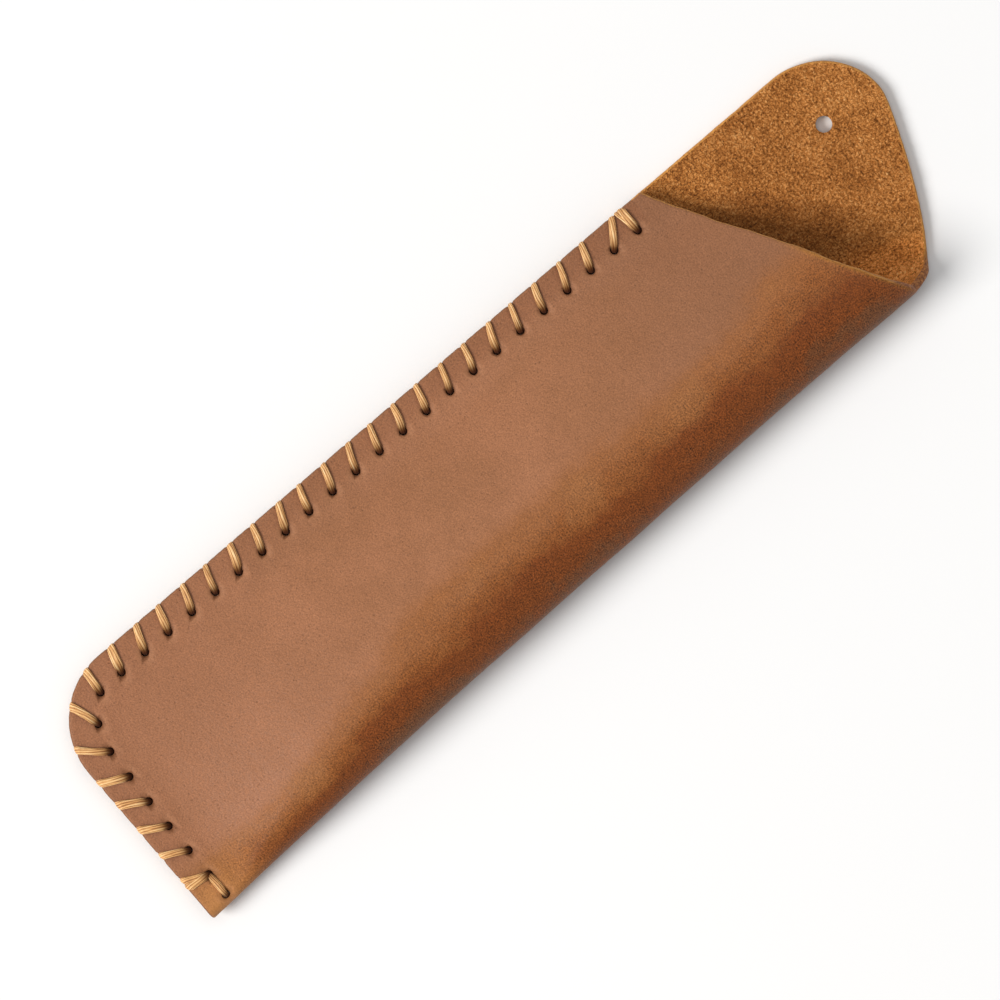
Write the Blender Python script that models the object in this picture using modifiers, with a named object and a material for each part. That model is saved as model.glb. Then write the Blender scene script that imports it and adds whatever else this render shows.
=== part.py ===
"""Fountain pen case: one folded leather blank, whip-stitched along two edges,
with a slanted mouth and a hinged flap tongue.

Frame: +Y runs along the case from the stitched bottom end to the flap tip,
+X runs from the stitched long edge to the fold, +Z is up from the back panel.
The origin is the centre of the case's outline, on the plane it rests on.
Sizes below are millimetres in the blank's own layout, with x = 0 on the
stitched long edge and y = 0 on the stitched bottom edge.
"""

import math

import bpy
import bmesh
from mathutils import Matrix, Vector

# ---------------------------------------------------------------- dimensions
MM = 0.001
ORIGIN_X, ORIGIN_Y = 22.32, 86.72      # layout point that becomes the origin

LEATHER = 1.5                          # leather thickness
LAYER_GAP = 0.3                        # gap between the two stitched layers
MARGIN_LIFT = 1.4                      # stitched margins stand off the rest plane
MARGIN = 6.5                           # width of the back panel's flat margin

FLAT_WIDTH = 45.95                     # width where the fold is creased flat
MOUTH_WIDTH = 42.6                     # width where the pocket is full
WIDTH_SINK = 1.75                      # part of the narrowing that happens early
EDGE_IN = 0.2                          # stitched edges lie this far inside the layout lines
FULL_HEIGHT = 13.2                     # outside height of the full pocket
RAMP_START, RAMP_SOFT = 7.5, 2.5       # the front panel leaves its flat margin here
SWELL_START, SWELL_LENGTH = 7.0, 82.0  # where the pocket starts to open, and how far
CREST_RUN, BELLY_RUN = 9.5, 7.8        # how far the fold's curve reaches over and under
BELLY_END_RUN = 3.6                    # the same under the flap's root

BOTTOM_CORNER = 14.0                   # rounded corner between the stitched edges
MOUTH_Y, MOUTH_SLOPE, MOUTH_BOW = 132.5, 0.56, 0.00125
FOLD_CUT_TURN = 0.5                    # share of the under-fold over which the cut joins the flap outline

FLAP_CORNER_X, FLAP_CORNER_Y = 12.8, 161.5   # centre of the flap's rounded corner
FLAP_TIP_Y = 174.7
FLAP_HOLE_X, FLAP_HOLE_Y, FLAP_HOLE_R = 11.5, 163.55, 1.4

CREASE_Y, CREASE_END_X, CREASE_END_Y = 136.0, 38.0, 163.4  # first crease line
CREASE_STEP = 11.5                     # distance between the two creases
KNUCKLE_R = LEATHER / 2                # rounded end of a leather panel at a crease
SOCKET_R = 1.2                         # hollow end of the panel it turns against

HOLE_R = 0.85                          # stitch hole
THREAD_R = 0.5
THREAD_STAND = 0.8                     # thread centre line above the leather
LEFT_HOLE_X, LEFT_HOLE_Y, LEFT_PITCH, LEFT_COUNT = 4.78, 15.27, 5.144, 23
CORNER_HOLES = ((8.94, 234.4), (9.63, 201.7))   # radius and angle from the corner's centre
CORNER_CROSSINGS = (251.7, 220.6, 193.5)   # where strands go over the rounded corner, same centre
BOTTOM_HOLE_X, BOTTOM_PITCH, BOTTOM_COUNT = 13.57, 5.246, 6
FOLD_HOLE = (44.2, 4.44)

Z_BACK = MARGIN_LIFT + LEATHER / 2                 # middle of the back layer at the margins
Z_FRONT = MARGIN_LIFT + 1.5 * LEATHER + LAYER_GAP  # middle of the front layer there
Z_REST = LEATHER / 2                               # middle of the back panel and the flap
Z_THREAD_TOP = MARGIN_LIFT + 2 * LEATHER + LAYER_GAP + THREAD_STAND
Z_THREAD_UNDER = MARGIN_LIFT - THREAD_STAND


# ---------------------------------------------------------------- shape rules
def ease(t):
    t = min(1.0, max(0.0, t))
    return t * t * (3 - 2 * t)


def mix(a, b, t):
    return a + (b - a) * t


def swell(y):
    """0 where the layers are pinched flat, 1 where the pocket is full."""
    t = min(1.0, max(0.0, (y - SWELL_START) / SWELL_LENGTH))
    t = 1.05 * t * t / (t + 0.05)
    return 1 - (1 - min(t, 1.0)) ** 4


def width(y):
    t = min(1.0, max(0.0, y / 160.0))
    return mix(FLAT_WIDTH, MOUTH_WIDTH + WIDTH_SINK, t) - WIDTH_SINK * (1 - (1 - t) ** 3.9)


def mouth_y(x):
    return MOUTH_Y + MOUTH_SLOPE * x + MOUTH_BOW * x * x


def bottom_y(x):
    if x >= BOTTOM_CORNER:
        return EDGE_IN
    r = BOTTOM_CORNER - EDGE_IN
    return BOTTOM_CORNER - math.sqrt(max(0.0, r ** 2 - (BOTTOM_CORNER - x) ** 2))


def crease_y(x):
    return CREASE_Y + (CREASE_END_Y - CREASE_Y) / CREASE_END_X * x


def flap_y(x):
    """Upper edge of the flap: a rounded corner on the left, a long fall to the fold."""
    if x < FLAP_CORNER_X:
        d = (FLAP_CORNER_X - x) / (FLAP_CORNER_X - EDGE_IN)
        return FLAP_CORNER_Y + (FLAP_TIP_Y - FLAP_CORNER_Y) * math.sqrt(max(0.0, 1 - d * d))
    d = x - FLAP_CORNER_X
    return FLAP_TIP_Y - 0.34 * (math.sqrt(d * d + 2.25) - 1.5) - 0.0045 * d * d - 0.00045 * max(0.0, d - 15) ** 3


# the section's seven stretches, and how many columns each one has
STRETCHES = (("front_margin", 3), ("front_rise", 8), ("crest", 9), ("belly", 6),
             ("back_flat", 5), ("back_rise", 3), ("back_margin", 4))


def soft_start(d):
    """A straight ramp that starts as a parabola instead of a corner."""
    if d <= -RAMP_SOFT:
        return 0.0
    if d >= RAMP_SOFT:
        return d
    return (d + RAMP_SOFT) ** 2 / (4 * RAMP_SOFT)


def section(name, t, y):
    """Middle of the leather at share t of one stretch of the section at y: (x, z).
    The front panel rises straight from its stitched margin and runs tangent into an
    ellipse round the fold; a second, tighter quarter ellipse brings it under."""
    s = swell(y)
    half_fold = (Z_FRONT - Z_BACK) / 2
    right = width(y) - LEATHER / 2
    top = mix(Z_FRONT, FULL_HEIGHT - LEATHER / 2, s)
    rest = mix(Z_BACK, Z_REST, ease((y - 8.0) / 10.0))
    back = mix(Z_BACK, Z_REST, ease((y - 130.0) / 4.5))
    over = mix(half_fold, CREST_RUN, s)
    under = mix(half_fold, mix(BELLY_RUN, BELLY_END_RUN, ease((y - 150.0) / 13.0)), s)
    middle = (rest + top) / 2
    rise = top - middle
    centre, belly_x = right - over, right - under
    run, drop = centre - RAMP_START, Z_FRONT - middle
    slope = (-run * drop + math.sqrt(max(0.0, (run * drop) ** 2 - (run ** 2 - over ** 2)
                                         * (drop ** 2 - rise ** 2)))) / (run ** 2 - over ** 2)
    start = -math.atan(slope * over / rise)
    ramp_x = RAMP_START - RAMP_SOFT
    if name == "front_margin":
        return mix(EDGE_IN, ramp_x, t), Z_FRONT
    if name == "front_rise":
        x = mix(ramp_x, centre + over * math.sin(start), t)
        return x, Z_FRONT + slope * soft_start(x - RAMP_START)
    if name == "crest":
        a = mix(start, math.pi / 2, t)
        return centre + over * math.sin(a), middle + rise * math.cos(a)
    if name == "belly":
        a = t * math.pi / 2
        return right - under * (1 - math.cos(a)), middle - (middle - rest) * math.sin(a)
    flat_x = MARGIN + 5.0
    if name == "back_flat":
        return mix(belly_x, flat_x, t), rest
    if name == "back_rise":
        return mix(flat_x, MARGIN, t), mix(rest, back, ease(t))
    return mix(MARGIN, EDGE_IN, t ** 0.75), back


def column_top(name, t):
    """Where one column of the blank ends: on the mouth's cut edge or on the first crease."""
    if name in ("front_margin", "front_rise", "crest"):
        edge = mouth_y
    elif name == "belly":
        start = mouth_y(section("crest", 1.0, 158.0)[0])
        y = start
        for _ in range(25):
            y = mix(start, flap_y(section(name, t, y)[0]), ease(t / FOLD_CUT_TURN))
        return y
    else:
        edge = crease_y
    y = 150.0
    for _ in range(25):
        y = edge(section(name, t, y)[0])
    return y


def column_bottom(name, t):
    y = 0.0
    for _ in range(25):
        y = bottom_y(section(name, t, y)[0])
    return y


def columns():
    """Every column of the section once, from the front's stitched edge round to the back's."""
    out = [(STRETCHES[0][0], 0.0)]
    for name, count in STRETCHES:
        out += [(name, k / count) for k in range(1, count + 1)]
    return out


def row_share(v):
    """Rows lie closer together near the bottom, where the pocket opens."""
    return mix(v, v * v, 0.62)


def left_holes():
    return [(LEFT_HOLE_X, LEFT_HOLE_Y + LEFT_PITCH * i) for i in range(LEFT_COUNT)]


def corner_holes():
    return [(BOTTOM_CORNER + r * math.cos(math.radians(a)), BOTTOM_CORNER + r * math.sin(math.radians(a)))
            for r, a in CORNER_HOLES]


def bottom_holes():
    """From the fold towards the rounded corner."""
    last = BOTTOM_HOLE_X + BOTTOM_PITCH * (BOTTOM_COUNT - 1)
    out = []
    for i in range(BOTTOM_COUNT):
        x = last - BOTTOM_PITCH * i
        out.append((x, 4.45 + 0.8 * ((last - x) / (last - BOTTOM_HOLE_X)) ** 2))
    return out


# ---------------------------------------------------------------- scene helpers
def clear_scene():
    for obj in list(bpy.data.objects):
        bpy.data.objects.remove(obj, do_unlink=True)


def collection(name):
    found = bpy.data.collections.get(name) or bpy.data.collections.new(name)
    if found.name not in bpy.context.scene.collection.children:
        bpy.context.scene.collection.children.link(found)
    return found


def material(name, colour, roughness):
    mat = bpy.data.materials.new(name)
    mat.use_nodes = True
    shader = mat.node_tree.nodes["Principled BSDF"]
    shader.inputs["Base Color"].default_value = (*colour, 1.0)
    shader.inputs["Roughness"].default_value = roughness
    shader.inputs["Metallic"].default_value = 0.0
    return mat


def place(x, y, z):
    """A layout point in metres in the part's frame."""
    return Vector(((x - ORIGIN_X) * MM, (y - ORIGIN_Y) * MM, z * MM))


def outline_prism(name, points, half, matrix=None):
    """A flat outline as a filled 2D curve, given half its thickness each way, as a mesh."""
    curve = bpy.data.curves.new(name, "CURVE")
    curve.dimensions = "2D"
    curve.fill_mode = "BOTH"
    curve.extrude = half
    spline = curve.splines.new("POLY")
    spline.points.add(len(points) - 1)
    for p, (x, y) in zip(spline.points, points):
        p.co = (x, y, 0.0, 1.0)
    spline.use_cyclic_u = True
    return meshed(name, curve, matrix or Matrix.Identity(4))


def meshed(name, curve, matrix):
    """The curve as a mesh object with its caps welded on."""
    source = bpy.data.objects.new(name + "_curve", curve)
    bpy.context.scene.collection.objects.link(source)
    source.matrix_world = matrix
    bpy.context.view_layer.update()
    graph = bpy.context.evaluated_depsgraph_get()
    mesh = bpy.data.meshes.new_from_object(source.evaluated_get(graph))
    bm = bmesh.new()
    bm.from_mesh(mesh)
    bmesh.ops.remove_doubles(bm, verts=bm.verts, dist=0.00001)
    bmesh.ops.recalc_face_normals(bm, faces=bm.faces)
    bm.to_mesh(mesh)
    bm.free()
    obj = bpy.data.objects.new(name, mesh)
    obj.matrix_world = matrix
    bpy.data.objects.remove(source, do_unlink=True)
    bpy.data.curves.remove(curve)
    return obj


def cylinders(name, centres, radius, z_low, z_high, segments):
    """Upright round cutters, one for each centre, in one mesh."""
    bm = bmesh.new()
    for x, y in centres:
        at = Matrix.Translation(place(x, y, (z_low + z_high) / 2))
        bmesh.ops.create_cone(bm, cap_ends=True, segments=segments, radius1=radius * MM,
                              radius2=radius * MM, depth=(z_high - z_low) * MM, matrix=at)
    mesh = bpy.data.meshes.new(name)
    bm.to_mesh(mesh)
    bm.free()
    return bpy.data.objects.new(name, mesh)


def cut(obj, cutter, operation="DIFFERENCE"):
    mod = obj.modifiers.new(cutter.name, "BOOLEAN")
    mod.operation = operation
    mod.solver = "EXACT"
    mod.object = cutter


def as_cutter(obj):
    cutters.objects.link(obj)
    obj.hide_render = True
    obj.display_type = "WIRE"
    return obj


def smooth_shaded(mesh, angle=40.0):
    mesh.shade_smooth()
    mesh.set_sharp_from_angle(angle=math.radians(angle))


# ---------------------------------------------------------------- crease frames
crease_dir = Vector((CREASE_END_X, CREASE_END_Y - CREASE_Y, 0.0)).normalized()
crease_out = Vector((-crease_dir.y, crease_dir.x, 0.0))


def crease_point(along, out, z=Z_REST):
    base = Vector((0.0, CREASE_Y, 0.0)) + crease_dir * along + crease_out * out
    return place(base.x, base.y, z)


def crease_matrix(out, along=22.0):
    """Local x points away from the first crease, local y up, local z along the crease."""
    turn = Matrix((crease_out, Vector((0, 0, 1)), crease_dir)).transposed().to_4x4()
    return Matrix.Translation(crease_point(along, out)) @ turn


def panel_profile(length, hollow_end):
    """Side profile of a flap panel: a rounded end on its own crease at 0, and either a
    hollow end round the next crease at `length`, or a plain end."""
    half = LEATHER / 2
    points = []
    steps = 10
    for k in range(steps + 1):
        a = math.pi / 2 + math.pi * k / steps
        points.append((KNUCKLE_R * math.cos(a) * MM, KNUCKLE_R * math.sin(a) * MM))
    if hollow_end:
        open_a = math.asin(half / SOCKET_R)
        for k in range(9):
            a = math.pi + open_a - 2 * open_a * k / 8
            points.append(((length + SOCKET_R * math.cos(a)) * MM, SOCKET_R * math.sin(a) * MM))
    else:
        points += [(length * MM, -half * MM), (length * MM, half * MM)]
    return points


def flap_outline():
    """The whole flap in plan, running on past its root so that panels can be cut from it."""
    points = [(EDGE_IN, 120.0), (44.0, 150.0)]
    points += [(x, flap_y(x)) for x in [44.0 - 2.4 * k for k in range(13)]]
    for k in range(13):
        a = math.pi / 2 + math.pi / 2 * k / 12
        points.append((FLAP_CORNER_X + (FLAP_CORNER_X - EDGE_IN) * math.cos(a),
                       FLAP_CORNER_Y + (FLAP_TIP_Y - FLAP_CORNER_Y) * math.sin(a)))
    return [((x - ORIGIN_X) * MM, (y - ORIGIN_Y) * MM) for x, y in points]


# ---------------------------------------------------------------- build
clear_scene()
case = collection("fountain_pen_case")
cutters = collection("cutters")

leather = material("waxed_leather", (0.38, 0.165, 0.080), 0.55)
suede = material("flap_leather", (0.43, 0.165, 0.040), 0.90)
cord = material("waxed_thread", (0.58, 0.26, 0.08), 0.60)

# sleeve: front panel, fold and back panel as one folded sheet, then given its thickness
cols = columns()
rows = [0.9 * row_share(k / 14) for k in range(15)] + [0.925, 0.95, 0.975, 1.0]
bm = bmesh.new()
grid = []
for name, t in cols:
    low, high = column_bottom(name, t), column_top(name, t)
    line = []
    for v in rows:
        y = mix(low, high, v)
        x, z = section(name, t, y)
        line.append(bm.verts.new(place(x, y, z)))
    grid.append(line)
for a, b in zip(grid, grid[1:]):
    for k in range(len(rows) - 1):
        bm.faces.new((a[k], b[k], b[k + 1], a[k + 1]))
bmesh.ops.recalc_face_normals(bm, faces=bm.faces)
mesh = bpy.data.meshes.new("sleeve")
bm.to_mesh(mesh)
bm.free()
sleeve = bpy.data.objects.new("sleeve", mesh)
case.objects.link(sleeve)
shell = sleeve.modifiers.new("thickness", "SOLIDIFY")
shell.thickness = LEATHER * MM
shell.offset = 0.0
shell.use_even_offset = True
shell.use_rim = True

holes = left_holes() + corner_holes() + bottom_holes() + [FOLD_HOLE]
cut(sleeve, as_cutter(cylinders("stitch_holes", holes, HOLE_R, -1.0, 7.0, 8)))

bm = bmesh.new()
bmesh.ops.create_cone(bm, cap_ends=True, segments=20, radius1=SOCKET_R * MM, radius2=SOCKET_R * MM,
                      depth=64 * MM, matrix=crease_matrix(0.0))
mesh = bpy.data.meshes.new("crease_socket")
bm.to_mesh(mesh)
bm.free()
cut(sleeve, as_cutter(bpy.data.objects.new("crease_socket", mesh)))
mesh = sleeve.data
mesh.materials.append(leather)
mesh.shade_smooth()

# flap: two panels cut from the same outline, each turning on its crease
outline = as_cutter(outline_prism("flap_outline", flap_outline(), 3 * MM,
                                  Matrix.Translation((0, 0, Z_REST * MM))))
for name, offset, length, hollow in (("flap_neck", 0.0, CREASE_STEP, True),
                                     ("flap_tongue", CREASE_STEP, 40.0, False)):
    panel = outline_prism(name, panel_profile(length, hollow), 32 * MM, crease_matrix(offset))
    panel.data.transform(panel.matrix_world)
    axis = crease_point(0.0, offset)
    panel.data.transform(Matrix.Translation(-axis))
    panel.matrix_world = Matrix.Translation(axis)
    case.objects.link(panel)
    cut(panel, outline, "INTERSECT")
    panel.data.materials.append(suede)
    if name == "flap_tongue":
        punched = cylinders("flap_hole", [(FLAP_HOLE_X, FLAP_HOLE_Y)], FLAP_HOLE_R, -2.0, 4.0, 24)
        cut(panel, as_cutter(punched))
    smooth_shaded(panel.data)


# thread: one waxed cord, whipped round both layers from the fold to the mouth
def stitch(hole, crossing, after):
    """Up through one hole, out over the edge at `crossing`, back under to the next hole."""
    h, c, n = (Vector((*p, 0.0)) for p in (hole, crossing, after))
    out, back = (c - h).normalized(), (n - c).normalized()
    edge_out, edge_back = c - out * 0.95, c + back * 0.95
    points = [(h.x, h.y, Z_THREAD_UNDER + 0.45), (h.x, h.y, Z_THREAD_TOP - 0.45)]
    start = h + out * 0.40
    points += [(start.x, start.y, Z_THREAD_TOP), (edge_out.x, edge_out.y, Z_THREAD_TOP),
               (c.x, c.y, Z_THREAD_TOP - 0.75), (c.x, c.y, Z_THREAD_UNDER + 0.75),
               (edge_back.x, edge_back.y, Z_THREAD_UNDER)]
    end = n - back * 0.40
    points.append((end.x, end.y, Z_THREAD_UNDER))
    return points


lean_left = [1.55 + 0.45 * math.sin(2.3 * i) for i in range(LEFT_COUNT)]
lean_left[LEFT_COUNT - 2] = 2.7        # the last but one strand reaches for the end stitch
lean_left[LEFT_COUNT - 1] = -0.75      # the end stitch leans back to meet it
stops = bottom_holes() + corner_holes() + left_holes()
out = -THREAD_STAND
crossings = [(x - 2.4, out) for x, _ in bottom_holes()[:-1]]
for a in CORNER_CROSSINGS:
    b = math.radians(a)
    crossings.append((BOTTOM_CORNER + (BOTTOM_CORNER - out) * math.cos(b),
                      BOTTOM_CORNER + (BOTTOM_CORNER - out) * math.sin(b)))
crossings += [(out, y + lean) for (_, y), lean in zip(left_holes(), lean_left)]

first = stops[0]
path = [(FOLD_HOLE[0] - 2.2, FOLD_HOLE[1], Z_THREAD_UNDER),
        (FOLD_HOLE[0] - 0.4, FOLD_HOLE[1], Z_THREAD_UNDER),
        (FOLD_HOLE[0], FOLD_HOLE[1], Z_THREAD_UNDER + 0.45),
        (FOLD_HOLE[0], FOLD_HOLE[1], Z_THREAD_TOP - 0.45),
        (FOLD_HOLE[0] - 0.4, FOLD_HOLE[1], Z_THREAD_TOP),
        (first[0] + 1.7, first[1] - 0.1, Z_THREAD_TOP),
        (first[0] + 1.1, first[1] - 0.7, Z_THREAD_TOP),
        (first[0] + 0.4, 0.15, Z_THREAD_TOP),
        (first[0] + 0.3, out, Z_THREAD_TOP - 0.75),
        (first[0] + 0.25, out, Z_THREAD_UNDER + 0.75),
        (first[0] + 0.2, 0.15, Z_THREAD_UNDER),
        (first[0], first[1] - 0.4, Z_THREAD_UNDER)]
for k, hole in enumerate(stops):
    after = stops[k + 1] if k + 1 < len(stops) else (LEFT_HOLE_X - 1.5, hole[1] + 0.7)
    path += stitch(hole, crossings[k], after)
curve = bpy.data.curves.new("stitching_thread", "CURVE")
curve.dimensions = "3D"
curve.bevel_depth = THREAD_R * MM
curve.bevel_resolution = 1
curve.use_fill_caps = True
spline = curve.splines.new("POLY")
spline.points.add(len(path) - 1)
for p, (x, y, z) in zip(spline.points, path):
    p.co = (*place(x, y, z), 1.0)
thread = meshed("stitching_thread", curve, Matrix.Identity(4))
thread.data.materials.clear()
thread.data.materials.append(cord)
smooth_shaded(thread.data, 80.0)
case.objects.link(thread)
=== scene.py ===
import math

import bpy
import bmesh
import numpy as np
from mathutils import Matrix, Vector, kdtree, noise


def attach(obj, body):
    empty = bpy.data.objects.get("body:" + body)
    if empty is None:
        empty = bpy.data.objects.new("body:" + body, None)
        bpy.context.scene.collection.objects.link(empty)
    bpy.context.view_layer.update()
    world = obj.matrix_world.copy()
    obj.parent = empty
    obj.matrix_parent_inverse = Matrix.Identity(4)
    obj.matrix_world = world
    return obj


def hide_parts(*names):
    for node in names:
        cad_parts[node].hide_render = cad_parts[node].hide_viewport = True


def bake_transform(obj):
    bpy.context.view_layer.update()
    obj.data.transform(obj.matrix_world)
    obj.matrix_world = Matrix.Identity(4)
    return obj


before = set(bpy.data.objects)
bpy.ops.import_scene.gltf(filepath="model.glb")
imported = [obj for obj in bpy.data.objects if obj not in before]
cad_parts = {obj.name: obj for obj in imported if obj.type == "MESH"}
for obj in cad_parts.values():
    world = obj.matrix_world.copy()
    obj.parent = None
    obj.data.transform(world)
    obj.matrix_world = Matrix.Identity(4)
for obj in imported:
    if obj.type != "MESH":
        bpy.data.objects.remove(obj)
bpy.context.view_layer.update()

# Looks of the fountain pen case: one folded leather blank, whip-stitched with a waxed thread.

# ------------------------------------------------------------------ dimensions (mm, layout frame)
MM = 0.001
ORIGIN_X, ORIGIN_Y = 22.32, 86.72
LEATHER, LAYER_GAP, MARGIN_LIFT, MARGIN = 1.5, 0.3, 1.4, 6.5
FLAT_WIDTH, MOUTH_WIDTH, WIDTH_SINK, FULL_HEIGHT = 45.95, 42.6, 1.75, 13.2
EDGE_IN = 0.2                         # stitched edges lie this far inside the layout lines
RAMP_START, RAMP_SOFT = 7.5, 2.5
SWELL_START, SWELL_LENGTH = 7.0, 82.0
CREST_RUN, BELLY_RUN, BELLY_END_RUN = 9.5, 7.8, 3.6
BOTTOM_CORNER = 14.0
MOUTH_Y, MOUTH_SLOPE, MOUTH_BOW, MOUTH_DIP = 132.5, 0.56, 0.00125, 1.05
FOLD_CUT_TURN = 0.5
FLAP_CORNER_X, FLAP_CORNER_Y, FLAP_TIP_Y = 12.8, 161.5, 174.7
FLAP_HOLE = (11.5, 163.55, 1.40)
CREASE_Y, CREASE_END_X, CREASE_END_Y, CREASE_STEP = 136.0, 38.0, 163.4, 11.5
SEAM_OUT = 5.75                       # the blank's two visual pieces meet here, beyond the first crease
HALF = LEATHER / 2
EDGE_R = 0.34                         # rounding of the cut edges
INSET = EDGE_IN + EDGE_R

HOLE_R = 0.70
LEFT_X, LEFT_Y, LEFT_PITCH, LEFT_COUNT = 4.78, 15.27, 5.144, 23
CORNER_HOLES = ((8.94, 234.4), (9.63, 201.7))
CORNER_CROSSINGS = (251.7, 220.6, 193.5)
BOTTOM_X, BOTTOM_PITCH, BOTTOM_COUNT = 13.57, 5.246, 6
FOLD_HOLE = (44.2, 4.44)

Z_BACK = MARGIN_LIFT + LEATHER / 2
Z_FRONT = MARGIN_LIFT + 1.5 * LEATHER + LAYER_GAP
Z_REST = LEATHER / 2
Z_TOP = MARGIN_LIFT + 2 * LEATHER + LAYER_GAP      # the front margin's face
Z_UNDER = MARGIN_LIFT                              # the back margin's face

crease_dir = np.array((CREASE_END_X, CREASE_END_Y - CREASE_Y)) / math.hypot(CREASE_END_X, CREASE_END_Y - CREASE_Y)
crease_out = np.array((-crease_dir[1], crease_dir[0]))


def ease(t):
    t = np.clip(t, 0.0, 1.0)
    return t * t * (3 - 2 * t)


def mix(a, b, t):
    return a + (b - a) * t


def swell(y):
    t = np.clip((y - SWELL_START) / SWELL_LENGTH, 0, 1)
    t = np.minimum(1.05 * t * t / (t + 0.05), 1.0)
    return 1 - (1 - t) ** 4


def width(y):
    t = np.clip(y / 160.0, 0, 1)
    return mix(FLAT_WIDTH, MOUTH_WIDTH + WIDTH_SINK, t) - WIDTH_SINK * (1 - (1 - t) ** 3.9)


def mouth_y(x):
    dip = MOUTH_DIP * ease((np.asarray(x, float) - 20.0) / 22.0)     # the cut sinks a little towards the fold
    return MOUTH_Y + MOUTH_SLOPE * x + MOUTH_BOW * x * x - dip


def bottom_y(x, inset=0.0):
    r = BOTTOM_CORNER - inset
    d = np.clip(BOTTOM_CORNER - np.asarray(x, float), 0.0, r)
    return BOTTOM_CORNER - np.sqrt(np.maximum(r * r - d * d, 0.0))


def cut_wobble(x):
    """The hand-cut mouth is not quite straight."""
    return 0.16 * math.sin(x * 0.55 + 0.7) * math.sin(x * 0.21 + 1.9) + 0.04 * math.sin(x * 1.9) \
        + 0.015 * math.sin(x * 3.7 + 1.0)


def flap_y(x, inset=0.0):
    x = np.asarray(x, float)
    a, b = FLAP_CORNER_X - EDGE_IN - inset, FLAP_TIP_Y - FLAP_CORNER_Y - inset
    dl = np.clip((FLAP_CORNER_X - x) / a, 0, 1)
    left = FLAP_CORNER_Y + b * np.sqrt(1 - dl * dl)
    dr = np.maximum(x - FLAP_CORNER_X, 0.0)
    fall = 0.34 * (np.sqrt(dr * dr + 2.25) - 1.5) + 0.0045 * dr * dr + 0.00045 * np.maximum(dr - 15, 0) ** 3
    slope = 0.34 * dr / np.sqrt(dr * dr + 2.25) + 0.009 * dr + 0.00135 * np.maximum(dr - 15, 0) ** 2
    return np.where(x < FLAP_CORNER_X, left, FLAP_TIP_Y - inset * np.sqrt(1 + slope * slope) - fall)


def crease_y(x, out=0.0):
    """The line parallel to the first crease, `out` beyond it."""
    return CREASE_Y + out / crease_dir[0] + crease_dir[1] / crease_dir[0] * x


def beyond_crease(x, y):
    return (x - 0.0) * crease_out[0] + (y - CREASE_Y) * crease_out[1]


def soft_start(d):
    return np.where(d <= -RAMP_SOFT, 0.0, np.where(d >= RAMP_SOFT, d, (d + RAMP_SOFT) ** 2 / (4 * RAMP_SOFT)))


def section(name, t, y):
    """Middle of the leather at share t of one stretch of the section at y: (x, z)."""
    y = np.asarray(y, float)
    s = swell(y)
    half_fold = (Z_FRONT - Z_BACK) / 2
    right = width(y) - LEATHER / 2
    top = mix(Z_FRONT, FULL_HEIGHT - LEATHER / 2, s)
    rest = mix(Z_BACK, Z_REST, ease((y - 8.0) / 10.0))
    back = mix(Z_BACK, Z_REST, ease((y - 130.0) / 4.5))
    over = mix(half_fold, CREST_RUN, s)
    under = mix(half_fold, mix(BELLY_RUN, BELLY_END_RUN, ease((y - 150.0) / 13.0)), s)
    middle = (rest + top) / 2
    rise = top - middle
    centre, belly_x = right - over, right - under
    run, drop = centre - RAMP_START, Z_FRONT - middle
    slope = (-run * drop + np.sqrt(np.maximum(0.0, (run * drop) ** 2 - (run ** 2 - over ** 2)
                                              * (drop ** 2 - rise ** 2)))) / (run ** 2 - over ** 2)
    start = -np.arctan(slope * over / rise)
    ramp_x = RAMP_START - RAMP_SOFT
    one = np.ones_like(y)
    if name == "front_margin":
        return mix(INSET, ramp_x, t * t) * one, Z_FRONT * one
    if name == "front_rise":
        x = mix(ramp_x, centre + over * np.sin(start), t)
        return x, Z_FRONT + slope * soft_start(x - RAMP_START)
    if name == "crest":
        a = mix(start, math.pi / 2, t)
        return centre + over * np.sin(a), middle + rise * np.cos(a)
    if name == "belly":
        a = t * math.pi / 2
        return right - under * (1 - math.cos(a)), middle - (middle - rest) * math.sin(a)
    flat_x = MARGIN + 5.0
    if name == "back_flat":
        return mix(belly_x, flat_x, t), rest
    if name == "back_rise":
        return mix(flat_x, MARGIN, t) * one, mix(rest, back, ease(t))
    return mix(INSET, MARGIN, (1 - t) ** 2) * one, back


def place(p):
    """Layout points (mm) to the row frame (m)."""
    p = np.asarray(p, float)
    return (p - np.array((ORIGIN_X, ORIGIN_Y, 0.0))) * MM


# ------------------------------------------------------------------ stitch layout
def bottom_holes():
    last = BOTTOM_X + BOTTOM_PITCH * (BOTTOM_COUNT - 1)
    return [(last - BOTTOM_PITCH * i, 4.45 + 0.8 * (BOTTOM_PITCH * i / (last - BOTTOM_X)) ** 2)
            for i in range(BOTTOM_COUNT)]


def corner_holes():
    return [(BOTTOM_CORNER + r * math.cos(math.radians(a)), BOTTOM_CORNER + r * math.sin(math.radians(a)))
            for r, a in CORNER_HOLES]


def left_holes():
    return [(LEFT_X, LEFT_Y + LEFT_PITCH * i) for i in range(LEFT_COUNT)]


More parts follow.
